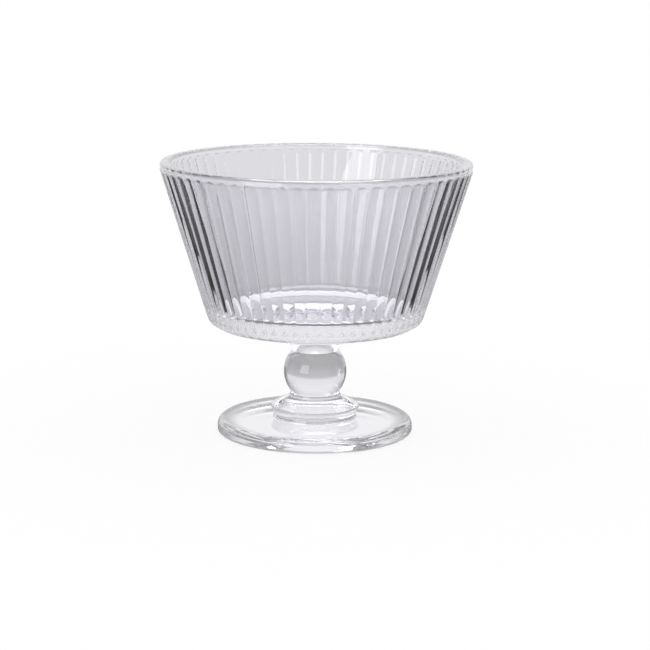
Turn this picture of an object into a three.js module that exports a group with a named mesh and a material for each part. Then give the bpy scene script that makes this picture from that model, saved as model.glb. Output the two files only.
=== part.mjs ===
import * as THREE from 'three';

// Footed dessert cup of pressed glass, in millimetres, standing on the table at z = 0 with +Z up.
// Five pieces share one upright axis and are fused on flat faces, from the table up:
// foot, lower merese, ball knop, upper merese and bowl.

// Height of each piece but the ball, whose height follows from its diameter and its flat ends
const FOOT_HEIGHT = 5;
const LOWER_MERESE_HEIGHT = 8.3;
const UPPER_MERESE_HEIGHT = 8.93;
const BOWL_HEIGHT = 55.2;

// Foot: a disc with a rounded edge, standing on a flat ring round a hollow like a very shallow dome
const FOOT_DIAMETER = 66;
const FOOT_EDGE_HEIGHT = 4.7;
const FOOT_TOP_ROUNDING = 2.5;
const FOOT_BOTTOM_ROUNDING = 1.1;
const FOOT_SEAT_INNER_DIAMETER = 58;
const FOOT_HOLLOW_DIAMETER = 16;
const FOOT_HOLLOW_DEPTH = 1.2;
const FOOT_HOLLOW_ROUNDING = 120;

// Lower merese: a pad with a waist and a rounded lip, which slopes up to a collar under the ball
const PAD_BASE_DIAMETER = 28.4;
const PAD_WAIST_DIAMETER = 27.6;
const PAD_WAIST_HEIGHT = 1.3;
const PAD_WAIST_ROUNDING = 1;
const PAD_LIP_DIAMETER = 30.8;
const PAD_LIP_HEIGHT = 3.8;
const PAD_LIP_ROUNDING = 0.9;
const COLLAR_HEIGHT = 1.1;
const COLLAR_LEDGE = 0.7;
const COLLAR_FLARE = 0.15;
const COLLAR_ROUNDING = 0.5;

// Ball knop: a sphere cut flat at both ends, where it is fused to its neighbours
const BALL_DIAMETER = 21.2;
const BALL_SEAT_DIAMETER = 15.4;

// Upper merese: a neck that flares up from the ball to the bowl, its side hollowed by a small bow
const NECK_TOP_DIAMETER = 33;
const NECK_BOW = 0.2;

// Bowl: a flared wall with an upright lip, a thick floor and a round rim, which stands out of a plain
// band like a small bead
const RIM_DIAMETER = 104;
const BOWL_BASE_DIAMETER = 70.9;
const LIP_HEIGHT = 2.6;
const BOWL_WALL = 3.6;
const BOWL_FLOOR = 6.2;
const BOWL_CORNER_ROUNDING = 4;
const BOWL_INSIDE_ROUNDING = 3;
const RIM_ROUNDING = 1.2;
const RIM_BEAD = 0.15;
const RIM_BEAD_FADE = 0.7;

// Ribs: rounded ribs side by side on the outside of the wall; they stand out of the plain band under the
// rim and end in arches there, sharp valleys part them, and they fade out round the corner
const RIB_COUNT = 64;
const RIB_RISE = 0.25;
const VALLEY_DEPTH = 0.45;
const RIB_ARCH_RISE = 1.8;
const RIB_SHOULDER = 0.9;
const RIB_CORNER_RISE = 0.07;
const VALLEY_CORNER_DEPTH = 0.3;
const RIB_RUNOUT = 1.8;
const BAND_HEIGHT = 0.15;
const RIB_TURN_DEG = -1.1;

// Fineness of the facets
const TURN_STEPS = 64;
const RIB_STEPS = 6;
const ROUNDING_STEPS = 4;
const BALL_STEPS = 10;
const NECK_STEPS = 6;

// The most of a side that one rounding may take up
const ROUNDING_SHARE = 0.49;

// Levels of the faces on which the pieces are fused
const BALL_HEIGHT = Math.sqrt(BALL_DIAMETER ** 2 - BALL_SEAT_DIAMETER ** 2);
const FOOT_TOP = FOOT_HEIGHT;
const LOWER_MERESE_TOP = FOOT_TOP + LOWER_MERESE_HEIGHT;
const BALL_TOP = LOWER_MERESE_TOP + BALL_HEIGHT;
const UPPER_MERESE_TOP = BALL_TOP + UPPER_MERESE_HEIGHT;
const RIM_TOP = UPPER_MERESE_TOP + BOWL_HEIGHT;

// Outline of a turned piece from corners [radius, height, rounding], each corner rounded by an arc
function outline(corners) {
  const points = [];
  corners.forEach(([radius, height, rounding = 0], i) => {
    const corner = new THREE.Vector2(radius, height);
    if (rounding === 0) {
      points.push(corner);
      return;
    }
    const back = new THREE.Vector2(...corners[i - 1]).sub(corner);
    const ahead = new THREE.Vector2(...corners[i + 1]).sub(corner);
    const room = ROUNDING_SHARE * Math.min(back.length(), ahead.length());
    const halfAngle = Math.acos(back.normalize().dot(ahead.normalize())) / 2;
    const reach = Math.min(rounding / Math.tan(halfAngle), room);
    const start = back.clone().multiplyScalar(reach).add(corner);
    const end = ahead.clone().multiplyScalar(reach).add(corner);
    const middle = start.clone().add(end).multiplyScalar(0.5);
    const toCentre = reach / Math.cos(halfAngle);
    const centre = middle.sub(corner).setLength(toCentre).add(corner);
    const sweep = Math.PI - 2 * halfAngle;
    const side = Math.sign(start.clone().sub(centre).cross(end.clone().sub(centre)));
    for (let step = 0; step <= ROUNDING_STEPS; step += 1) {
      points.push(start.clone().rotateAround(centre, (side * sweep * step) / ROUNDING_STEPS));
    }
  });
  return points;
}

// Body turned round the upright axis from an outline that starts and ends on the axis
function turned(points) {
  return new THREE.LatheGeometry(points, TURN_STEPS).rotateX(Math.PI / 2);
}

// Point at a turn from the first valley, in whole turns, that lies at a place on an outline
function around(turns, { x: radius, y: height }) {
  const firstValley = THREE.MathUtils.degToRad(RIB_TURN_DEG) - Math.PI / RIB_COUNT;
  const angle = firstValley + 2 * Math.PI * turns;
  return new THREE.Vector3(radius * Math.sin(angle), -radius * Math.cos(angle), height);
}

// One level ring of points
function plainRing(place) {
  return Array.from({ length: TURN_STEPS }, (_, i) => around(i / TURN_STEPS, place));
}

// One ring of points that goes out and in over every rib; across runs from -1 to 1 between two valleys
function ribbedRing(placeAt, recess, valley) {
  const count = RIB_COUNT * RIB_STEPS;
  return Array.from({ length: count }, (_, i) => {
    const across = (2 * (i % RIB_STEPS)) / RIB_STEPS - 1;
    const place = placeAt(across).clone();
    place.x -= recess + valley * across * across;
    return around(i / count, place);
  });
}

// Closed body skinned over a run of rings, which may have different numbers of points;
// a ring of one point closes an end
function skinned(rings) {
  const positions = rings.flat().flatMap((point) => point.toArray());
  const faces = [];
  let first = 0;
  rings.slice(1).forEach((ring, k) => {
    const before = rings[k].length;
    const after = ring.length;
    const steps = [before, after].map((count) => (count === 1 ? 0 : count));
    const here = (i) => first + (i % before);
    const next = (j) => first + before + (j % after);
    let i = 0;
    let j = 0;
    while (i < steps[0] || j < steps[1]) {
      const turnHere = i < steps[0] && (j >= steps[1] || (i + 0.5) / before <= (j + 0.5) / after);
      if (turnHere) {
        faces.push(here(i), here(i + 1), next(j));
        i += 1;
      } else {
        faces.push(here(i), next(j + 1), next(j));
        j += 1;
      }
    }
    first += before;
  });
  const geometry = new THREE.BufferGeometry();
  geometry.setAttribute('position', new THREE.Float32BufferAttribute(positions, 3));
  geometry.setIndex(faces);
  geometry.computeVertexNormals();
  return geometry;
}

// Outside radius of the bowl's flared wall and upright lip, without the ribs
function bowlRadius(height) {
  const flareHeight = BOWL_HEIGHT - LIP_HEIGHT;
  const share = Math.min((height - UPPER_MERESE_TOP) / flareHeight, 1);
  return THREE.MathUtils.lerp(BOWL_BASE_DIAMETER, RIM_DIAMETER, share) / 2;
}

function footGeometry() {
  return turned(outline([
    [0, FOOT_HOLLOW_DEPTH],
    [FOOT_HOLLOW_DIAMETER / 2, FOOT_HOLLOW_DEPTH, FOOT_HOLLOW_ROUNDING],
    [FOOT_SEAT_INNER_DIAMETER / 2, 0],
    [FOOT_DIAMETER / 2, 0, FOOT_BOTTOM_ROUNDING],
    [FOOT_DIAMETER / 2, FOOT_EDGE_HEIGHT, FOOT_TOP_ROUNDING],
    [PAD_BASE_DIAMETER / 2, FOOT_TOP],
    [0, FOOT_TOP],
  ]));
}

function lowerMereseGeometry() {
  const collarTop = BALL_SEAT_DIAMETER / 2 + COLLAR_LEDGE;
  return turned(outline([
    [0, FOOT_TOP],
    [PAD_BASE_DIAMETER / 2, FOOT_TOP],
    [PAD_WAIST_DIAMETER / 2, FOOT_TOP + PAD_WAIST_HEIGHT, PAD_WAIST_ROUNDING],
    [PAD_LIP_DIAMETER / 2, FOOT_TOP + PAD_LIP_HEIGHT, PAD_LIP_ROUNDING],
    [collarTop + COLLAR_FLARE, LOWER_MERESE_TOP - COLLAR_HEIGHT, COLLAR_ROUNDING],
    [collarTop, LOWER_MERESE_TOP],
    [0, LOWER_MERESE_TOP],
  ]));
}

function ballGeometry() {
  const centre = (LOWER_MERESE_TOP + BALL_TOP) / 2;
  const tilt = Math.asin(BALL_HEIGHT / BALL_DIAMETER);
  const arc = Array.from({ length: BALL_STEPS + 1 }, (_, i) => {
    const angle = THREE.MathUtils.lerp(-tilt, tilt, i / BALL_STEPS);
    const height = centre + (BALL_DIAMETER / 2) * Math.sin(angle);
    return new THREE.Vector2((BALL_DIAMETER / 2) * Math.cos(angle), height);
  });
  arc[0].y = LOWER_MERESE_TOP;
  arc[BALL_STEPS].y = BALL_TOP;
  return turned([new THREE.Vector2(0, LOWER_MERESE_TOP), ...arc, new THREE.Vector2(0, BALL_TOP)]);
}

function upperMereseGeometry() {
  const bottom = new THREE.Vector2(BALL_SEAT_DIAMETER / 2, BALL_TOP);
  const top = new THREE.Vector2(NECK_TOP_DIAMETER / 2, UPPER_MERESE_TOP);
  const middle = bottom.clone().add(top).multiplyScalar(0.5);
  const inward = new THREE.Vector2(bottom.y - top.y, top.x - bottom.x).setLength(2 * NECK_BOW);
  const side = new THREE.QuadraticBezierCurve(bottom, middle.add(inward), top).getPoints(NECK_STEPS);
  return turned([new THREE.Vector2(0, BALL_TOP), ...side, new THREE.Vector2(0, UPPER_MERESE_TOP)]);
}

function bowlGeometry() {
  const floor = UPPER_MERESE_TOP + BOWL_FLOOR;
  const lip = RIM_TOP - LIP_HEIGHT;
  const rim = RIM_DIAMETER / 2;
  const underside = outline([
    [0, UPPER_MERESE_TOP],
    [BOWL_BASE_DIAMETER / 2, UPPER_MERESE_TOP, BOWL_CORNER_ROUNDING],
    [rim, lip],
  ]).slice(1, -1);
  const rimAndInside = outline([
    [rim, lip],
    [rim, RIM_TOP, RIM_ROUNDING],
    [rim - BOWL_WALL, RIM_TOP, RIM_ROUNDING],
    [rim - BOWL_WALL, lip],
    [bowlRadius(floor) - BOWL_WALL, floor, BOWL_INSIDE_ROUNDING],
    [0, floor],
  ]).slice(1, -1);
  const cornerTop = underside.at(-1);
  const cornerRibs = underside.slice(1).map((place, i, places) => {
    const share = (i + 1) / places.length;
    return ribbedRing(() => place, -share * RIB_CORNER_RISE, share * VALLEY_CORNER_DEPTH);
  });
  const beadEnd = rimAndInside[0].y - RIM_BEAD_FADE;
  const archTop = beadEnd - BAND_HEIGHT;
  const crestRecess = RIM_BEAD - RIB_RISE;
  const wallAt = (height) => new THREE.Vector2(bowlRadius(height), height);
  const arch = (across) => archTop - RIB_ARCH_RISE * (1 - Math.sqrt(1 - across * across));
  return skinned([
    [new THREE.Vector3(0, 0, UPPER_MERESE_TOP)],
    plainRing(underside[0]),
    ...cornerRibs,
    ribbedRing(() => wallAt(cornerTop.y + RIB_RUNOUT), crestRecess, VALLEY_DEPTH),
    ribbedRing((across) => wallAt(arch(across) - RIB_SHOULDER), crestRecess, VALLEY_DEPTH),
    ribbedRing((across) => wallAt(arch(across)), RIM_BEAD, 0),
    plainRing(new THREE.Vector2(bowlRadius(beadEnd) - RIM_BEAD, beadEnd)),
    ...rimAndInside.map(plainRing),
    [new THREE.Vector3(0, 0, floor)],
  ]);
}

// One named piece of clear glass
function piece(name, geometry) {
  const glass = new THREE.MeshStandardMaterial({ color: 0xe4e6ec, roughness: 0.04, metalness: 0 });
  glass.transparent = true;
  glass.opacity = 0.35;
  const mesh = new THREE.Mesh(geometry, glass);
  mesh.name = name;
  return mesh;
}

const cup = new THREE.Group();
cup.add(piece('foot', footGeometry()));
cup.add(piece('lower_merese', lowerMereseGeometry()));
cup.add(piece('ball_knop', ballGeometry()));
cup.add(piece('upper_merese', upperMereseGeometry()));
cup.add(piece('bowl', bowlGeometry()));

export default cup;
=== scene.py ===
import math

import bpy
import numpy as np
from bpy.props import FloatProperty, FloatVectorProperty, IntProperty, PointerProperty
from mathutils import Matrix, Vector


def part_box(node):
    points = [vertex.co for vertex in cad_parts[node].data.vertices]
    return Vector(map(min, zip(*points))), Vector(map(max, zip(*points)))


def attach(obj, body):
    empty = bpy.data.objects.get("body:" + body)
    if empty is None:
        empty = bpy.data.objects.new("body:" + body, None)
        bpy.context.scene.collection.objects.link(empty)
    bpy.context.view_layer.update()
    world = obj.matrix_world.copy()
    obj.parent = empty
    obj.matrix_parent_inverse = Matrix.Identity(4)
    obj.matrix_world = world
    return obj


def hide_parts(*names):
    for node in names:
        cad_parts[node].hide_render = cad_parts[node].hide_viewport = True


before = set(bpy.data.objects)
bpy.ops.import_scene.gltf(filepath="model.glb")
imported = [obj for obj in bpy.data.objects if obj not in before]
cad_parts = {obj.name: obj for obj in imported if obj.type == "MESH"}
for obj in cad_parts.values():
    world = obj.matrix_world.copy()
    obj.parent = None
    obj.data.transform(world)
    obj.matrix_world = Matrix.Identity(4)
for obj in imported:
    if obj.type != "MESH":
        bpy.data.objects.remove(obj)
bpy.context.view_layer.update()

bl_info = {
    "name": "Dessert cup",
    "version": (1, 0, 0),
    "blender": (4, 5, 0),
    "location": "View3D > Sidebar > Dessert cup",
    "description": "A footed dessert cup of ribbed pressed glass, and the studio that shows it",
    "category": "Add Mesh",
}

MM = 0.001
BODY = "root"
SENSOR_WIDTH = 36
NEAREST_SEEN = 10 * MM
LIGHT_BOUNCES = 32
WHITE = (1, 1, 1, 1)
# Sockets of a Mix node that carry its two colours and their mixture
MIX_FIRST, MIX_SECOND, MIX_RESULT = 6, 7, 2

# Levels of the faces on which the pieces are fused, and the widths that the frame gives
FOOT_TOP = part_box("foot")[1].z
LOWER_MERESE_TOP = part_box("lower_merese")[1].z
BALL_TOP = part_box("ball_knop")[1].z
UPPER_MERESE_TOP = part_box("upper_merese")[1].z
RIM_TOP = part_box("bowl")[1].z
FOOT_DIAMETER = 2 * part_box("foot")[1].x
RIM_DIAMETER = 2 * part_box("bowl")[1].x
NECK_TOP_DIAMETER = 2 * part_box("upper_merese")[1].x

# Fineness of the meshes; the places across a rib run from valley to valley, and those across a mould seam
# are in halves of its width
TURN_STEPS = 288
ROUNDING_STEPS = 12
BALL_STEPS = 64
NECK_STEPS = 28
RIB_PLACES = (-1, -0.93, -0.82, -0.64, -0.43, -0.21, 0, 0.21, 0.43, 0.64, 0.82, 0.93)
SEAM_PLACES = (-2, -1.4, -0.9, -0.45, 0, 0.45, 0.9, 1.4, 2)
RUNOUT_STEPS = 4
WALL_STEPS = 10
SHOULDER_STEPS = 8
BAND_STEPS = 5
# Distance of the extra points beside a corner, length of a step on a straight way, and radius round the
# axis that is kept free of points
SUPPORT = 0.25 * MM
STRAIGHT_STEP = 4 * MM
AXIS_CLEAR = 1 * MM
# Closer points are one point, and sharper edges stay sharp
SAME_PLACE = 0.001 * MM
SHARP_ANGLE = math.radians(38)

# Shares of the bowl's bottom corner at which the ribs start to rise, and over which they do
CORNER_FADE_START = 0.08
CORNER_FADE_LENGTH = 0.8
# Closeness and depth of the ripples in each glass, as shares of those in its settings
BOWL_RIPPLES = (1, 1)
STEM_RIPPLES = (1.4, 0.5)
FOOT_RIPPLES = (0.7, 1.5)

# Tones of the studio as the glass shows them: the table's by distance from the cup over its reach, which
# are painted shadow of the cup, fading with the distance, and painted light under the middle of the foot;
# and those of the bright wall behind the cup and of the room in front by the sine of their height
TABLE_REACH = 600 * MM
TABLE_LIGHT_AND_SHADOW_TONES = ((0.043, 0.95), (0.05, 0.3), (0.057, 0.3), (0.065, 0.42), (0.1, 0.43), (0.17, 0.52),
               (0.33, 0.56), (0.5, 0.62), (0.75, 0.72), (1, 0.8))
WALL_TONES = ((0, 0.85), (0.1, 0.86), (0.26, 0.9), (0.45, 0.8), (0.6, 0.85), (0.68, 1.5), (0.79, 1.4),
              (0.85, 0.55), (0.91, 0.5), (0.94, 0.7), (0.966, 0.75), (0.985, 1.1))
ROOM_TONES = ((0, 0.82), (0.1, 0.8), (0.3, 0.45), (0.6, 0.35), (0.85, 0.6), (1, 1.05))
# Cosine of the angle from straight behind the cup at which the wall ends, and at which it is full
WALL_ENDS = (0.6, 0.93)
# Dark and grey cards that stand at both sides: angles of their edges from straight behind the cup, in
# degrees, and their tones
CARDS = ((-90, -82, 0.35), (-82, -57, 0.03), (48, 58, 0.4), (58, 82, 0.03), (82, 90, 0.35))
# Rings of painted light under the bowl, the outer one with painted shade at its front: inner radius, outer
# radius and height, in millimetres, and tones in front and behind
PAINTED_LIGHT_AND_SHADE_RINGS = ((9, 19, 29.5, 1.4, 1.4), (29.5, 35.5, 36.2, 0.25, 1.35))
RING_STEPS = 64
# Depths between which a ring goes from its front tone to its back tone, as shares of its radius
RING_CHANGE = (-0.6, -0.35)


# Properties

def length(name, description, millimetres):
    """A size in the scene's units, with its default in millimetres."""
    return FloatProperty(
        name=name, description=description, default=millimetres * MM, min=0,
        unit="LENGTH", subtype="DISTANCE", precision=5)


def angle(name, description, degrees):
    """An angle, with its default in degrees."""
    return FloatProperty(
        name=name, description=description, default=math.radians(degrees),
        subtype="ANGLE", unit="ROTATION")


def share(name, description, default):
    """A number from nought to one."""
    return FloatProperty(
        name=name, description=description, default=default, min=0, max=1, subtype="FACTOR")


def colour(name, description, default):
    """A linear colour."""
    return FloatVectorProperty(
        name=name, description=description, default=default, min=0, max=1, size=3, subtype="COLOR")


class BowlSizes(bpy.types.PropertyGroup):
    """Sizes of the bowl's wall, floor and rim"""
    rim_diameter: length("Rim diameter", "Across the outside of the rim", RIM_DIAMETER / MM)
    base_diameter: length("Base diameter", "Across the bowl where wall and underside would meet", 70.9)
    lip_height: length("Lip height", "Height of the upright lip over the flared wall", 2.6)
    wall: length("Wall", "Level thickness of the wall, without the ribs", 3.6)
    floor: length("Floor", "Thickness of the floor", 6.2)
    corner_rounding: length("Corner rounding", "Radius of the outside corner under the wall", 4)
    inside_rounding: length("Inside rounding", "Radius of the inside corner over the floor", 3)
    rim_rounding: length("Rim rounding", "Radius of the rim's two edges", 1.2)
    bead: length("Bead", "How far the rim stands out of the plain band under it", 0.15)
    bead_fade: length("Bead fade", "Height over which the rim goes in to the band", 0.7)
    lip_softness: length("Lip softness", "Reach of the soft bend between wall and lip", 0.8)


class RibSizes(bpy.types.PropertyGroup):
    """Sizes of the ribs and of the mould seams that run down among them"""
    count: IntProperty(name="Count", description="Number of ribs round the bowl", default=64, min=8)
    turn: angle("Turn", "Angle from the front to the middle of the first rib", -1.1)
    rise: length("Rise", "How far the crest of a rib stands out of the plain band", 0.25)
    valley: length("Valley", "Depth of the valley between two ribs, below their crests", 0.45)
    arch_rise: length("Arch rise", "Rise of the arch that ends each rib", 1.8)
    shoulder: length("Shoulder", "Height over which a rib ends under its arch", 0.9)
    runout: length("Runout", "Height over which the valleys deepen above the corner", 1.8)
    corner_share: share("Depth at the corner", "Share of the depth reached at the top of the corner", 0.67)
    band: length("Band", "Plain band between the arches and the bead", 0.15)
    seam_turn: angle("Seam turn", "Angle from the front to the first of the two mould seams", -25.6)
    seam_height: length("Seam height", "Height of the fin that a mould seam leaves", 0.2)
    seam_width: length("Seam width", "Width of that fin", 0.3)


class StemSizes(bpy.types.PropertyGroup):
    """Sizes of the neck, the ball and the collared pad"""
    neck_top_diameter: length("Neck top", "Across the neck where it meets the bowl", NECK_TOP_DIAMETER / MM)
    neck_bow: length("Neck bow", "How far the side of the neck is hollowed", 0.2)
    ball_diameter: length("Ball", "Across the ball", 21.2)
    ball_seat: length("Ball seat", "Across the flat ends of the ball", 15.4)
    pad_base: length("Pad base", "Across the pad where it meets the foot", 28.4)
    pad_waist: length("Pad waist", "Across the hollow between the pad's base and its lip", 27.6)
    pad_waist_height: length("Pad waist height", "Height of the middle of that hollow over the foot", 1.3)
    pad_waist_rounding: length("Pad waist rounding", "Radius of that hollow", 1)
    pad_lip: length("Pad lip", "Across the pad's lip before it is rounded", 30.8)
    pad_lip_height: length("Pad lip height", "Height of the lip over the foot before it is rounded", 3.8)
    pad_lip_rounding: length("Pad lip rounding", "Radius of the lip", 0.9)
    collar_height: length("Collar height", "Height of the collar under the ball", 1.1)
    collar_ledge: length("Collar ledge", "Ledge that the collar leaves round the ball's seat", 0.7)
    collar_flare: length("Collar flare", "How much wider the collar is at its foot", 0.15)
    collar_rounding: length("Collar rounding", "Radius of the hollow under the collar", 0.5)


class FootSizes(bpy.types.PropertyGroup):
    """Sizes of the foot"""
    diameter: length("Diameter", "Across the foot", FOOT_DIAMETER / MM)
    edge_height: length("Edge height", "Height of the foot at its edge", 4.7)
    top_rounding: length("Top rounding", "Radius of the upper edge", 2.5)
    bottom_rounding: length("Bottom rounding", "Radius of the lower edge", 1.1)
    seat_inner: length("Seat inside", "Inside diameter of the ring that the cup stands on", 58)
    hollow_diameter: length("Hollow", "Across the level part of the hollow underneath", 16)
    hollow_depth: length("Hollow depth", "Depth of the hollow underneath", 1.2)
    hollow_rounding: length("Hollow rounding", "Radius where the hollow meets its slope", 120)


class GlassLook(bpy.types.PropertyGroup):
    """Colour and surface of the glass"""
    tint: colour("Tint", "Colour that light keeps on its way through one wall", (0.935, 0.925, 0.965))
    ior: FloatProperty(name="Refraction", description="Index of refraction", default=1.5, min=1, max=2)
    ripple_size: length("Ripple size", "Distance between the waves that pressing leaves in the surface", 9)
    ripple_depth: length("Ripple depth", "Height of those waves", 0.01)


class StudioLook(bpy.types.PropertyGroup):
    """Colours, sizes and camera of the studio"""
    floor_tone: colour("Table", "Colour of the table", (1, 1, 1))
    glow_share: share("Table glow", "Share of the table's white that no shadow can darken", 0.8)
    floor_width: length("Table width", "Width of the table", 8000)
    floor_gap: length("Table gap", "Gap of air between the cup and the table", 0.05)
    card_distance: length("Card distance", "From the cup's axis to the cards at both sides", 100)
    card_height: length("Card height", "Height of the cards at both sides", 75)
    window_power: FloatProperty(
        name="Window", description="Brightness of the window at the front left", default=4, min=0)
    window_turn: angle("Window turn", "Angle from the front to the middle of the window", -40)
    window_distance: length("Window distance", "From the cup's axis to the window", 700)
    window_width: length("Window width", "Width of the window", 390)
    window_bottom: length("Window bottom", "Height of the window's lower edge", 0)
    window_top: length("Window top", "Height of the window's upper edge", 470)
    ceiling_power: FloatProperty(
        name="Ceiling", description="Brightness of the soft light overhead", default=6, min=0)
    ceiling_height: length("Ceiling height", "Height of the soft light overhead", 700)
    ceiling_width: length("Ceiling width", "Width of the soft light overhead", 600)
    camera_place: FloatVectorProperty(
        name="Camera place", description="Where the camera stands",
        default=(0, -0.6849, 0.1771), size=3, subtype="TRANSLATION", unit="LENGTH")
    camera_pitch: angle("Camera pitch", "How far the camera looks down", 11.62)
    camera_yaw: angle("Camera yaw", "How far the camera is turned to the right", 0.27)
    camera_roll: angle("Camera roll", "How far the camera leans to its left", 0.44)
    camera_lens: FloatProperty(
        name="Camera lens", description="Focal length in millimetres", default=114.77, min=1)


class DessertCup(bpy.types.PropertyGroup):
    """All settings of the cup"""
    bowl: PointerProperty(type=BowlSizes)
    ribs: PointerProperty(type=RibSizes)
    stem: PointerProperty(type=StemSizes)
    foot: PointerProperty(type=FootSizes)
    glass: PointerProperty(type=GlassLook)
    studio: PointerProperty(type=StudioLook)


# Outlines and meshes

def lerp(a, b, t):
    """Goes from a to b as t goes from 0 to 1."""
    return a + (b - a) * t


def smooth_step(t):
    """Rises smoothly from 0 to 1 as t does."""
    t = np.clip(t, 0, 1)
    return t * t * (3 - 2 * t)


def steps(count):
    """Even steps up to 1, without 0."""
    return [(i + 1) / count for i in range(count)]


def rounded(corner, back, ahead, radius):
    """Points of the arc that rounds a corner between its two neighbours on an outline."""
    to_back = (back - corner).normalized()
    to_ahead = (ahead - corner).normalized()
    half_angle = to_back.angle(to_ahead) / 2
    reach = radius / math.tan(half_angle)
    centre = corner + (to_back + to_ahead).normalized() * radius / math.sin(half_angle)
    start = corner + to_back * reach - centre
    end = corner + to_ahead * reach - centre
    side = math.copysign(1, start.x * end.y - start.y * end.x)
    sweep = side * (math.pi - 2 * half_angle)
    turns = [Matrix.Rotation(sweep * step / ROUNDING_STEPS, 2) for step in range(ROUNDING_STEPS + 1)]
    return [centre + turn @ start for turn in turns]


def stretch(start, end):
    """Points on the straight way between two points: one close to each end, and even steps between."""
    way = (end - start).length
    inner = way - 2 * SUPPORT
    if inner < SUPPORT:
        return []
    count = max(1, round(inner / STRAIGHT_STEP))
    return [start.lerp(end, (SUPPORT + inner * i / count) / way) for i in range(count + 1)]


def outline(corners):
    """Points (radius, height) along corners of (radius, height) or (radius, height, rounding)."""
    places = [Vector(corner[:2]) for corner in corners]
    points = []
    for i, corner in enumerate(corners):
        run = [places[i]]
        if len(corner) == 3:
            run = rounded(places[i], places[i - 1], places[i + 1], corner[2])
        if points:
            run = stretch(points[-1], run[0]) + run
        points += [p for p in run if not points or (p - points[-1]).length > SAME_PLACE]
    return [p for p in points if p.x < SAME_PLACE or p.x > AXIS_CLEAR]


def ring(angles, radii, heights):
    """Points round the axis, at angles measured from the front towards +X."""
    radii = np.broadcast_to(radii, angles.shape)
    heights = np.broadcast_to(heights, angles.shape)
    return np.stack([radii * np.sin(angles), -radii * np.cos(angles), heights], axis=1)


def skinned(name, rings, levels, fused_rows, glass):
    """Closed mesh over rings of equally many points. A point on the axis closes each end, at the two
    levels. The rows of faces marked in fused_rows lie inside the glass, between two fused pieces."""
    columns = len(rings[0])
    ends = [[0, 0, level] for level in levels]
    places = np.concatenate([*rings, ends])
    bottom, top = len(places) - 2, len(places) - 1
    here = np.arange(columns)
    after = (here + 1) % columns
    faces = [[bottom, b, a] for a, b in zip(here, after)]
    for low in range(0, (len(rings) - 1) * columns, columns):
        high = low + columns
        faces += [[low + a, low + b, high + b, high + a] for a, b in zip(here, after)]
    faces += [[top, bottom - columns + a, bottom - columns + b] for a, b in zip(here, after)]
    mesh = bpy.data.meshes.new(name)
    mesh.from_pydata(places.tolist(), [], faces)
    mesh.materials.append(glass)
    mesh.materials.append(fused_glass())
    mesh.polygons.foreach_set("material_index", np.repeat(fused_rows, columns).astype(np.int32))
    mesh.shade_smooth()
    piece = bpy.data.objects.new(name, mesh)
    bpy.context.scene.collection.objects.link(piece)
    return piece


def turned(name, points, seats, glass):
    """Turned piece from an outline that starts and ends on the axis. Each seat (level, radius) is a
    flat face on which the piece is fused to its neighbour."""
    def seated(point):
        return any(abs(point.y - level) < SAME_PLACE and point.x < radius + SAME_PLACE
                   for level, radius in seats)

    angles = np.arange(TURN_STEPS) * (2 * math.pi / TURN_STEPS)
    rings = [ring(angles, point.x, point.y) for point in points[1:-1]]
    fused_rows = [seated(a) and seated(b) for a, b in zip(points, points[1:])]
    piece = skinned(name, rings, (points[0].y, points[-1].y), fused_rows, glass)
    piece.data.set_sharp_from_angle(angle=SHARP_ANGLE)
    return piece


def place(piece, node):
    """Puts a piece on the part, where it stands for a node of the frame."""
    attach(piece, BODY)
    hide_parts(node)


# Materials

def new_material(name):
    """An empty material and its node tree."""
    material = bpy.data.materials.new(name)
    material.use_nodes = True
    material.node_tree.nodes.clear()
    return material, material.node_tree


def feed(tree, socket, value):
    """Sets a socket by a value, or links it from another node's socket."""
    if isinstance(value, bpy.types.NodeSocket):
        tree.links.new(value, socket)
    else:
        socket.default_value = value


def add(tree, kind, **sockets):
    """Adds a node and feeds its sockets. An underscore in a socket's name here stands for a space."""
    node = tree.nodes.new(kind)
    for key, value in sockets.items():
        feed(tree, node.inputs[key.replace("_", " ")], value)
    return node


def maths(tree, operation, *values):
    """Adds a Math node over values or sockets, and returns its result."""
    node = tree.nodes.new("ShaderNodeMath")
    node.operation = operation
    for socket, value in zip(node.inputs, values):
        feed(tree, socket, value)
    return node.outputs[0]


def mix(tree, factor, first, second):
    """Adds a Mix node over two colours or sockets, and returns its result."""
    node = add(tree, "ShaderNodeMix", Factor=factor)
    node.data_type = "RGBA"
    feed(tree, node.inputs[MIX_FIRST], first)
    feed(tree, node.inputs[MIX_SECOND], second)
    return node.outputs[MIX_RESULT]


def mix_shaders(tree, factor, first, second):
    """Adds a Mix Shader node over two shaders, and returns its result."""
    node = add(tree, "ShaderNodeMixShader", Fac=factor)
    tree.links.new(first, node.inputs[1])
    tree.links.new(second, node.inputs[2])
    return node.outputs["Shader"]


def ripple_group():
    """Group: the slow waves that pressing leaves in a glass surface, as a height in metres."""
    name = "pressed_glass_ripple"
    if name in bpy.data.node_groups:
        return bpy.data.node_groups[name]
    tree = bpy.data.node_groups.new(name, "ShaderNodeTree")
    tree.interface.new_socket("Ripples per metre", in_out="INPUT", socket_type="NodeSocketFloat")
    tree.interface.new_socket("Depth", in_out="INPUT", socket_type="NodeSocketFloat")
    tree.interface.new_socket("Height", in_out="OUTPUT", socket_type="NodeSocketFloat")
    inputs = tree.nodes.new("NodeGroupInput")
    places = tree.nodes.new("ShaderNodeTexCoord")
    waves = add(tree, "ShaderNodeTexNoise", Vector=places.outputs["Object"],
                Scale=inputs.outputs["Ripples per metre"], Detail=1, Roughness=0.4)
    height = maths(tree, "MULTIPLY", waves.outputs["Fac"], inputs.outputs["Depth"])
    add(tree, "NodeGroupOutput", Height=height)
    return tree


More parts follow.
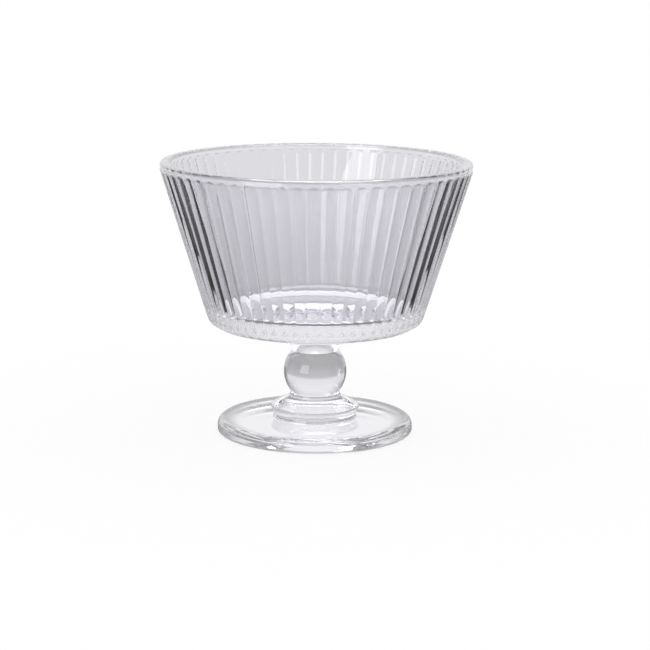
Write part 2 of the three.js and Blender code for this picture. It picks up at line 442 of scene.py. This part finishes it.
def clear_glass(name, look, closeness, depth):
    """Clear pressed glass with a gently rippled surface. The ripples' closeness and depth are shares of
    the look's."""
    material, tree = new_material(name)
    ripple = tree.nodes.new("ShaderNodeGroup")
    ripple.node_tree = ripple_group()
    ripple.inputs["Ripples per metre"].default_value = closeness / look.ripple_size
    ripple.inputs["Depth"].default_value = depth * look.ripple_depth
    bump = add(tree, "ShaderNodeBump", Distance=1, Height=ripple.outputs["Height"])
    glass = add(tree, "ShaderNodeBsdfPrincipled", Base_Color=(*look.tint, 1), Roughness=0, Metallic=0,
                IOR=look.ior, Transmission_Weight=1, Normal=bump.outputs["Normal"])
    add(tree, "ShaderNodeOutputMaterial", Surface=glass.outputs["BSDF"])
    return material


def fused_glass():
    """Faces inside the glass, where two pieces are fused: light passes them unbent."""
    name = "fused_glass"
    if name in bpy.data.materials:
        return bpy.data.materials[name]
    material, tree = new_material(name)
    through = add(tree, "ShaderNodeBsdfTransparent", Color=WHITE)
    add(tree, "ShaderNodeOutputMaterial", Surface=through.outputs["BSDF"])
    return material


# Pieces

def bowl_angles(ribs, rim):
    """Angles of the bowl's columns of points: across every rib, and closer across the seams."""
    pitch = 2 * math.pi / ribs.count
    middles = ribs.turn + pitch * np.arange(ribs.count)
    over_ribs = middles[:, None] + np.array(RIB_PLACES) * pitch / 2
    in_seams = seam_angles(ribs)[:, None] + np.array(SEAM_PLACES) * ribs.seam_width / 2 / rim
    return np.sort(np.concatenate([over_ribs.ravel(), in_seams.ravel()]) % (2 * math.pi))


def seam_angles(ribs):
    """Angles of the two seams that the halves of the mould leave."""
    return ribs.seam_turn + math.pi * np.arange(2)


def seam_fin(ribs, angles, rim):
    """Height of the seams' fins at the angles of the columns."""
    off = angles - seam_angles(ribs)[:, None]
    off = (off + math.pi) % (2 * math.pi) - math.pi
    return ribs.seam_height * np.exp(-(off * rim / (ribs.seam_width / 2)) ** 2).sum(0)


def bowl_rings(bowl, ribs, seat_radius):
    """Rings of the bowl, from its seat on the neck out over the underside, up the ribbed wall, over the
    rim and down inside to the floor."""
    rim, base = bowl.rim_diameter / 2, bowl.base_diameter / 2
    lip, floor = RIM_TOP - bowl.lip_height, UPPER_MERESE_TOP + bowl.floor
    lean = (rim - base) / (lip - UPPER_MERESE_TOP)
    angles = bowl_angles(ribs, rim)
    across = ((angles - ribs.turn) * ribs.count / (2 * math.pi) + 0.5) % 1 * 2 - 1
    rib_inset = bowl.bead - ribs.rise + ribs.valley * across ** 2
    fin = seam_fin(ribs, angles, rim)
    rim_start = RIM_TOP - bowl.rim_rounding

    def wall_radius(height):
        below = np.clip(lip - height, -bowl.lip_softness, None)
        soft = (below + bowl.lip_softness) ** 2 / (4 * bowl.lip_softness)
        return rim - lean * np.where(below > bowl.lip_softness, below, soft)

    def wall_ring(height, inset, fin_share=1.0):
        return ring(angles, wall_radius(height) - inset + fin_share * fin, height)

    seat = Vector((seat_radius, UPPER_MERESE_TOP))
    corner = rounded(Vector((base, UPPER_MERESE_TOP)), seat, Vector((rim, lip)), bowl.corner_rounding)
    rings = [ring(angles, p.x, p.y) for p in [seat, *stretch(seat, corner[0])]]
    for i, point in enumerate(corner):
        fade = smooth_step((i / ROUNDING_STEPS - CORNER_FADE_START) / CORNER_FADE_LENGTH)
        rings.append(ring(angles, point.x - ribs.corner_share * fade * (rib_inset - fin), point.y))
    corner_top = corner[-1].y
    for t in steps(RUNOUT_STEPS):
        depth = lerp(ribs.corner_share, 1, smooth_step(t))
        rings.append(wall_ring(corner_top + t * ribs.runout, depth * rib_inset))
    arch_top = rim_start - bowl.bead_fade - ribs.band
    arch = arch_top - ribs.arch_rise * (1 - np.sqrt(1 - across ** 2))
    shoulder = arch - ribs.shoulder
    for t in steps(WALL_STEPS):
        rings.append(wall_ring(lerp(corner_top + ribs.runout, shoulder, t), rib_inset))
    for t in steps(SHOULDER_STEPS):
        inset = lerp(bowl.bead, rib_inset, math.cos(t * math.pi / 2))
        rings.append(wall_ring(lerp(shoulder, arch, t), inset))
    for t in steps(BAND_STEPS):
        height = lerp(arch, rim_start, t)
        inset = bowl.bead * smooth_step((rim_start - height) / bowl.bead_fade)
        rings.append(wall_ring(height, inset, 1 - t))
    inside = outline([
        (rim, rim_start),
        (rim, RIM_TOP, bowl.rim_rounding),
        (rim - bowl.wall, RIM_TOP, bowl.rim_rounding),
        (rim - bowl.wall, lip, bowl.lip_softness),
        (wall_radius(floor).item() - bowl.wall, floor, bowl.inside_rounding),
        (0, floor)])
    rings += [ring(angles, p.x, p.y) for p in inside[1:-1]]
    return rings, floor


class MakeBowl(bpy.types.Operator):
    """Make the ribbed bowl"""
    bl_idname = "dessert_cup.make_bowl"
    bl_label = "Make bowl"

    def execute(self, context):
        cup = context.scene.dessert_cup
        glass = clear_glass("bowl_glass", cup.glass, *BOWL_RIPPLES)
        rings, floor = bowl_rings(cup.bowl, cup.ribs, cup.stem.neck_top_diameter / 2)
        fused_rows = [True] + [False] * len(rings)
        bowl = skinned("bowl_glass", rings, (UPPER_MERESE_TOP, floor), fused_rows, glass)
        place(bowl, "bowl")
        return {"FINISHED"}


class MakeUpperMerese(bpy.types.Operator):
    """Make the neck that flares from the ball to the bowl"""
    bl_idname = "dessert_cup.make_upper_merese"
    bl_label = "Make upper merese"

    def execute(self, context):
        cup = context.scene.dessert_cup
        bottom = Vector((cup.stem.ball_seat / 2, BALL_TOP))
        top = Vector((cup.stem.neck_top_diameter / 2, UPPER_MERESE_TOP))
        inward = (top - bottom).orthogonal().normalized() * 2 * cup.stem.neck_bow
        pull = bottom.lerp(top, 0.5) + inward
        side = [bottom.lerp(pull, t).lerp(pull.lerp(top, t), t) for t in (0, *steps(NECK_STEPS))]
        points = [Vector((0, BALL_TOP)), *side, Vector((0, UPPER_MERESE_TOP))]
        seats = [(BALL_TOP, bottom.x), (UPPER_MERESE_TOP, top.x)]
        place(turned("upper_merese_glass", points, seats, stem_glass(cup)), "upper_merese")
        return {"FINISHED"}


class MakeBallKnop(bpy.types.Operator):
    """Make the ball of the stem"""
    bl_idname = "dessert_cup.make_ball_knop"
    bl_label = "Make ball knop"

    def execute(self, context):
        cup = context.scene.dessert_cup
        radius, seat = cup.stem.ball_diameter / 2, cup.stem.ball_seat / 2
        middle = (LOWER_MERESE_TOP + BALL_TOP) / 2
        tilt = math.acos(seat / radius)
        angles = [lerp(-tilt, tilt, t) for t in (0, *steps(BALL_STEPS))]
        side = [Vector((radius * math.cos(a), middle + radius * math.sin(a))) for a in angles]
        side[0].y, side[-1].y = LOWER_MERESE_TOP, BALL_TOP
        points = [Vector((0, LOWER_MERESE_TOP)), *side, Vector((0, BALL_TOP))]
        seats = [(LOWER_MERESE_TOP, seat), (BALL_TOP, seat)]
        place(turned("ball_knop_glass", points, seats, stem_glass(cup)), "ball_knop")
        return {"FINISHED"}


class MakeLowerMerese(bpy.types.Operator):
    """Make the pad and collar under the ball"""
    bl_idname = "dessert_cup.make_lower_merese"
    bl_label = "Make lower merese"

    def execute(self, context):
        cup = context.scene.dessert_cup
        stem = cup.stem
        base, seat = stem.pad_base / 2, stem.ball_seat / 2
        collar = seat + stem.collar_ledge
        points = outline([
            (0, FOOT_TOP),
            (base, FOOT_TOP),
            (stem.pad_waist / 2, FOOT_TOP + stem.pad_waist_height, stem.pad_waist_rounding),
            (stem.pad_lip / 2, FOOT_TOP + stem.pad_lip_height, stem.pad_lip_rounding),
            (collar + stem.collar_flare, LOWER_MERESE_TOP - stem.collar_height, stem.collar_rounding),
            (collar, LOWER_MERESE_TOP),
            (seat, LOWER_MERESE_TOP),
            (0, LOWER_MERESE_TOP)])
        seats = [(FOOT_TOP, base), (LOWER_MERESE_TOP, seat)]
        place(turned("lower_merese_glass", points, seats, stem_glass(cup)), "lower_merese")
        return {"FINISHED"}


class MakeFoot(bpy.types.Operator):
    """Make the foot"""
    bl_idname = "dessert_cup.make_foot"
    bl_label = "Make foot"

    def execute(self, context):
        cup = context.scene.dessert_cup
        foot = cup.foot
        edge, pad = foot.diameter / 2, cup.stem.pad_base / 2
        points = outline([
            (0, foot.hollow_depth),
            (foot.hollow_diameter / 2, foot.hollow_depth, foot.hollow_rounding),
            (foot.seat_inner / 2, 0),
            (edge, 0, foot.bottom_rounding),
            (edge, foot.edge_height, foot.top_rounding),
            (pad, FOOT_TOP),
            (0, FOOT_TOP)])
        glass = clear_glass("foot_glass", cup.glass, *FOOT_RIPPLES)
        place(turned("foot_glass", points, [(FOOT_TOP, pad)], glass), "foot")
        return {"FINISHED"}


def stem_glass(cup):
    """The glass of the stem's three pieces."""
    made = bpy.data.materials.get("stem_glass")
    return made or clear_glass("stem_glass", cup.glass, *STEM_RIPPLES)


# Studio

def tone_ramp(tree, value, tones):
    """Ramp of greys over a value from 0 to 1, from pairs of value and tone."""
    ramp = add(tree, "ShaderNodeValToRGB", Fac=value)
    elements = ramp.color_ramp.elements
    elements.remove(elements[1])
    elements[0].position = tones[0][0]
    for spot, _ in tones[1:]:
        elements.new(spot)
    for element, (_, tone) in zip(elements, tones):
        element.color = (tone, tone, tone, 1)
    return ramp.outputs["Color"]


def seen_in_glass(tree, path):
    """One for the rays that show the studio in and through the glass, and nought for all others."""
    through, mirrored = path.outputs["Is Transmission Ray"], path.outputs["Is Glossy Ray"]
    return maths(tree, "MAXIMUM", through, mirrored)


def floor_material(look):
    """Pale table that is white to the camera and keeps some of the cup's shadow. In the glass it shows
    painted shadow of the cup, grey near it and fading with the distance, and painted light under the foot."""
    material, tree = new_material("pale_table")
    path = tree.nodes.new("ShaderNodeLightPath")
    in_glass = seen_in_glass(tree, path)
    spot = tree.nodes.new("ShaderNodeTexCoord").outputs["Object"]
    distance = tree.nodes.new("ShaderNodeVectorMath")
    distance.operation = "LENGTH"
    tree.links.new(spot, distance.inputs[0])
    reach = maths(tree, "DIVIDE", distance.outputs["Value"], TABLE_REACH)
    # In the glass the table's tone is painted: shadow of the cup near it, and light under the foot
    tone = mix(tree, in_glass, WHITE, tone_ramp(tree, reach, TABLE_LIGHT_AND_SHADOW_TONES))
    matt = add(tree, "ShaderNodeBsdfDiffuse", Color=(*look.floor_tone, 1))
    glow = add(tree, "ShaderNodeEmission", Color=tone, Strength=1)
    direct = maths(tree, "MULTIPLY", path.outputs["Is Camera Ray"], look.glow_share)
    glowing_share = maths(tree, "MAXIMUM", direct, in_glass)
    surface = mix_shaders(tree, glowing_share, matt.outputs["BSDF"], glow.outputs["Emission"])
    add(tree, "ShaderNodeOutputMaterial", Surface=surface)
    return material


def make_floor(look):
    """A wide plain table."""
    half = look.floor_width / 2
    corners = [(-half, -half), (half, -half), (half, half), (-half, half)]
    make_sheet("table", [(x, y, -look.floor_gap) for x, y in corners], floor_material(look))


def make_sheet(name, corners, material, faces=None):
    """A flat piece of the studio, of one face over all its corners or of the faces given."""
    mesh = bpy.data.meshes.new(name)
    mesh.from_pydata(corners, [], faces or [range(len(corners))])
    mesh.materials.append(material)
    sheet = bpy.data.objects.new(name, mesh)
    bpy.context.scene.collection.objects.link(sheet)
    return sheet


def glowing(name, strength):
    """Plain white material of one brightness."""
    material, tree = new_material(name)
    glow = add(tree, "ShaderNodeEmission", Color=WHITE, Strength=strength)
    add(tree, "ShaderNodeOutputMaterial", Surface=glow.outputs["Emission"])
    return material


def only_in_glass(sheet):
    """Lets a sheet of the studio show in the glass alone."""
    sheet.visible_camera = False
    sheet.visible_diffuse = False
    sheet.visible_shadow = False


def make_cards(look):
    """Dark and grey cards at both sides behind the cup and, mirrored, in front of it. They draw the dark
    lines of the glass."""
    for *edges, tone in CARDS:
        material = glowing("card", tone)
        for side in (1, -1):
            ends = [(look.card_distance * math.sin(a), side * look.card_distance * math.cos(a))
                    for a in map(math.radians, edges)]
            lower = [(x, y, 0) for x, y in ends]
            upper = [(x, y, look.card_height) for x, y in reversed(ends)]
            only_in_glass(make_sheet("card", lower + upper, material))


def painted_ring_material(radius, front, back):
    """Painted light that shows from above alone, and goes from one tone at the front of a ring to another
    behind; a low front tone is painted shade.
    """
    material, tree = new_material("pale_ring")
    spot = tree.nodes.new("ShaderNodeTexCoord").outputs["Object"]
    depth = add(tree, "ShaderNodeSeparateXYZ", Vector=spot).outputs["Y"]
    start, end = (change * radius for change in RING_CHANGE)
    tone = add(tree, "ShaderNodeMapRange", Value=depth, From_Min=start, From_Max=end,
               To_Min=front, To_Max=back)
    glow = add(tree, "ShaderNodeEmission", Color=WHITE, Strength=tone.outputs["Result"])
    clear = add(tree, "ShaderNodeBsdfTransparent", Color=WHITE)
    below = tree.nodes.new("ShaderNodeNewGeometry").outputs["Backfacing"]
    surface = mix_shaders(tree, below, glow.outputs["Emission"], clear.outputs["BSDF"])
    add(tree, "ShaderNodeOutputMaterial", Surface=surface)
    return material


def make_painted_rings():
    """Rings of painted light under the bowl, which lighten its floor. The outer one is dark in front,
    painted shade that draws the line under the bowl's wall."""
    here = np.arange(RING_STEPS)
    after = (here + 1) % RING_STEPS
    angles = here * (2 * math.pi / RING_STEPS)
    faces = np.stack([here, RING_STEPS + here, RING_STEPS + after, after], axis=1).tolist()
    for inner, outer, height, front, back in PAINTED_LIGHT_AND_SHADE_RINGS:
        places = np.concatenate([ring(angles, radius * MM, height * MM) for radius in (inner, outer)])
        material = painted_ring_material(outer * MM, front, back)
        only_in_glass(make_sheet("pale_ring", places.tolist(), material, faces))


def make_window(look):
    """Bright window at the front left, which only the glass shows."""
    turn = Matrix.Rotation(look.window_turn, 3, "Z")
    half = look.window_width / 2
    corners = [(-half, look.window_bottom), (half, look.window_bottom),
               (half, look.window_top), (-half, look.window_top)]
    places = [turn @ Vector((x, -look.window_distance, z)) for x, z in corners]
    only_in_glass(make_sheet("window", places, glowing("window", look.window_power)))


def make_ceiling(look):
    """Soft light overhead, which only the glass mirrors."""
    half = look.ceiling_width / 2
    corners = [(-half, -half), (-half, half), (half, half), (half, -half)]
    places = [(x, y, look.ceiling_height) for x, y in corners]
    sheet = make_sheet("ceiling", places, glowing("ceiling", look.ceiling_power))
    only_in_glass(sheet)
    sheet.visible_transmission = False


def make_world():
    """Even white light from all round. In the glass it shows the tones of the studio's walls."""
    world = bpy.data.worlds.new("studio")
    world.use_nodes = True
    tree = world.node_tree
    tree.nodes.clear()
    in_glass = seen_in_glass(tree, tree.nodes.new("ShaderNodeLightPath"))
    way = tree.nodes.new("ShaderNodeTexCoord").outputs["Generated"]
    parts = add(tree, "ShaderNodeSeparateXYZ", Vector=way)
    height = parts.outputs["Z"]
    drop = maths(tree, "MULTIPLY", height, -1)
    level = maths(tree, "SQRT", maths(tree, "MULTIPLY_ADD", height, drop, 1))
    facing = maths(tree, "DIVIDE", parts.outputs["Y"], level)
    none, full = WALL_ENDS
    behind = maths(tree, "MULTIPLY_ADD", facing, 1 / (full - none), -none / (full - none))
    room = tone_ramp(tree, height, ROOM_TONES)
    wall = tone_ramp(tree, height, WALL_TONES)
    tone = mix(tree, in_glass, WHITE, mix(tree, behind, room, wall))
    light = add(tree, "ShaderNodeBackground", Color=tone, Strength=1)
    add(tree, "ShaderNodeOutputWorld", Surface=light.outputs["Background"])
    bpy.context.scene.world = world


def make_camera(look):
    """The camera, which looks down a little at the front of the cup."""
    lens = bpy.data.cameras.new("camera")
    lens.lens = look.camera_lens
    lens.sensor_width = SENSOR_WIDTH
    lens.clip_start = NEAREST_SEEN
    camera = bpy.data.objects.new("camera", lens)
    yaw = Matrix.Rotation(-look.camera_yaw, 4, "Z")
    pitch = Matrix.Rotation(math.pi / 2 - look.camera_pitch, 4, "X")
    roll = Matrix.Rotation(look.camera_roll, 4, "Z")
    camera.matrix_world = Matrix.Translation(look.camera_place) @ yaw @ pitch @ roll
    bpy.context.scene.collection.objects.link(camera)
    bpy.context.scene.camera = camera


class MakeStudio(bpy.types.Operator):
    """Make the table, the light and the camera"""
    bl_idname = "dessert_cup.make_studio"
    bl_label = "Make studio"

    def execute(self, context):
        scene = context.scene
        look = scene.dessert_cup.studio
        make_floor(look)
        make_cards(look)
        make_painted_rings()
        make_window(look)
        make_ceiling(look)
        make_world()
        make_camera(look)
        scene.view_settings.view_transform = "Standard"
        scene.cycles.max_bounces = LIGHT_BOUNCES
        scene.cycles.transmission_bounces = LIGHT_BOUNCES
        scene.cycles.glossy_bounces = LIGHT_BOUNCES
        scene.cycles.transparent_max_bounces = LIGHT_BOUNCES
        return {"FINISHED"}


# Panel and start

class DessertCupPanel(bpy.types.Panel):
    """The cup's settings and the buttons that make it"""
    bl_idname = "VIEW3D_PT_dessert_cup"
    bl_label = "Dessert cup"
    bl_space_type = "VIEW_3D"
    bl_region_type = "UI"
    bl_category = "Dessert cup"

    def draw(self, context):
        cup = context.scene.dessert_cup
        for maker in MAKERS:
            self.layout.operator(maker.bl_idname)
        for group in (cup.bowl, cup.ribs, cup.stem, cup.foot, cup.glass, cup.studio):
            box = self.layout.box()
            for name in group.__annotations__:
                box.prop(group, name)


MAKERS = (MakeStudio, MakeFoot, MakeLowerMerese, MakeBallKnop, MakeUpperMerese, MakeBowl)
CLASSES = (BowlSizes, RibSizes, StemSizes, FootSizes, GlassLook, StudioLook, DessertCup,
           *MAKERS, DessertCupPanel)


def register():
    """Registers the classes and the cup's settings."""
    for item in CLASSES:
        bpy.utils.register_class(item)
    bpy.types.Scene.dessert_cup = PointerProperty(type=DessertCup)


def unregister():
    """Takes the settings and the classes away again."""
    del bpy.types.Scene.dessert_cup
    for item in reversed(CLASSES):
        bpy.utils.unregister_class(item)


def main():
    """Makes the studio and the cup."""
    register()
    bpy.ops.dessert_cup.make_studio()
    bpy.ops.dessert_cup.make_foot()
    bpy.ops.dessert_cup.make_lower_merese()
    bpy.ops.dessert_cup.make_ball_knop()
    bpy.ops.dessert_cup.make_upper_merese()
    bpy.ops.dessert_cup.make_bowl()


if __name__ == "__main__":
    main()
